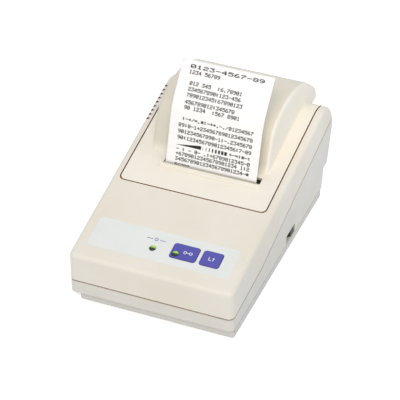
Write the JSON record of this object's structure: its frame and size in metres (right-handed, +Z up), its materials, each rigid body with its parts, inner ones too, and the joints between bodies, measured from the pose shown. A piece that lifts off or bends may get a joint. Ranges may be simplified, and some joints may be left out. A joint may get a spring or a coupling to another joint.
{
  "type": "receipt printer",
  "caption": "Compact desktop receipt printer with a sloping keyed panel, a hinged roll cover, a tear-off paper slot and an impact print mechanism.",
  "frame": {"origin": "On the surface the feet stand on, under the middle of the overall width and depth", "axes": "+X to the right of a person facing the front, +Y from the front to the rear, +Z up"},
  "size_m": [0.106, 0.1819, 0.1093],
  "materials": {
    "case_plastic": "fine grain",
    "grey_film": "satin film",
    "key_blue": "satin",
    "lamp_green": "gloss, translucent",
    "lamp_dark": "gloss, translucent",
    "board_green": "solder mask",
    "black_plastic": "satin",
    "steel": "zinc plated",
    "rubber": "matt",
    "paper": "smooth bond",
    "card": "plain",
    "brass": "machined",
    "white_plastic": "natural acetal",
    "ribbon_ink": "inked weave"
  },
  "bodies": {
    "printer": {"lower_case": "case_plastic", "upper_case": "case_plastic", "rubber_feet": "rubber", "case_screws": "steel", "hinge_pins": "steel", "control_label": "grey_film", "power_lamp": "lamp_green", "select_lamp": "lamp_green", "panel_board": "board_green", "panel_screws": "steel", "key_switches": "black_plastic", "roll_bay": "white_plastic", "paper_web": "paper", "main_board": "board_green", "board_screws": "steel", "board_chips": "black_plastic", "interface_connector": "steel", "connector_posts": "steel", "dc_jack": "black_plastic", "power_switch": "black_plastic", "mech_frame": "steel", "mech_screws": "steel", "guide_shafts": "steel", "platen": "steel", "motor": "steel", "ribbon_cassette": "black_plastic", "ink_ribbon": "ribbon_ink"},
    "cover": {"printer_cover": "case_plastic", "tear_bar": "steel"},
    "receipt": {"receipt_strip": "paper"},
    "roll": {"paper_roll": "paper", "roll_core": "card", "roll_spindle": "white_plastic"},
    "select_key": {"select_key": "key_blue"},
    "feed_key": {"feed_key": "key_blue"},
    "switch_knob": {"switch_knob": "black_plastic"},
    "print_head": {"print_head": "black_plastic"},
    "cam_drum": {"cam_drum": "white_plastic", "drum_gear": "white_plastic"},
    "feed_roller": {"feed_shaft": "steel", "feed_gear": "white_plastic", "feed_roller": "rubber"},
    "pinch_roller": {"pinch_roller": "white_plastic"},
    "motor_rotor": {"motor_shaft": "steel", "pinion": "brass"},
    "ribbon_knob": {"ribbon_knob": "white_plastic"}
  },
  "joints": [
    {"name": "cover_open", "type": "hinge", "parent": "printer", "child": "cover", "pos_m": [0, 0.0834, 0.05], "axis": [-1, 0, 0], "range_deg": [0, 95]},
    {"name": "receipt_pull", "type": "slide", "parent": "cover", "child": "receipt", "axis": [0, 0.2924, 0.9563], "range_m": [0, 0.02]},
    {"name": "roll_turn", "type": "hinge", "parent": "printer", "child": "roll", "pos_m": [0.0043, 0.0384, 0.051], "axis": [1, 0, 0], "continuous": true},
    {"name": "select_press", "type": "slide", "parent": "printer", "child": "select_key", "axis": [0, 0.1977, -0.9803], "range_m": [0, 0.0006], "stiffness_N_per_m": 250},
    {"name": "feed_press", "type": "slide", "parent": "printer", "child": "feed_key", "axis": [0, 0.1977, -0.9803], "range_m": [0, 0.0006], "stiffness_N_per_m": 250},
    {"name": "power_slide", "type": "slide", "parent": "printer", "child": "switch_knob", "axis": [0, -1, 0], "range_m": [0, 0.005]},
    {"name": "head_shuttle", "type": "slide", "parent": "printer", "child": "print_head", "axis": [1, 0, 0], "range_m": [0, 0.006]},
    {"name": "drum_spin", "type": "hinge", "parent": "printer", "child": "cam_drum", "pos_m": [0, -0.01306, 0.02819], "axis": [1, 0, 0], "continuous": true},
    {"name": "feed_spin", "type": "hinge", "parent": "printer", "child": "feed_roller", "pos_m": [0, 0.00409, 0.03165], "axis": [1, 0, 0], "continuous": true},
    {"name": "pinch_spin", "type": "hinge", "parent": "printer", "child": "pinch_roller", "pos_m": [0, -0.00199, 0.03042], "axis": [1, 0, 0], "continuous": true},
    {"name": "motor_spin", "type": "hinge", "parent": "printer", "child": "motor_rotor", "pos_m": [0, -0.02528, 0.03083], "axis": [1, 0, 0], "continuous": true},
    {"name": "ribbon_turn", "type": "hinge", "parent": "printer", "child": "ribbon_knob", "pos_m": [-0.028, -0.03303, 0.03743], "axis": [0, -0.1977, 0.9803], "continuous": true}
  ],
  "couplings": [
    {"joint": "feed_spin", "follows": "drum_spin", "ratio": -1.3333},
    {"joint": "motor_spin", "follows": "drum_spin", "ratio": -4},
    {"joint": "pinch_spin", "follows": "drum_spin", "ratio": 2.6667},
    {"joint": "ribbon_turn", "follows": "drum_spin", "ratio": 0.1}
  ]
}
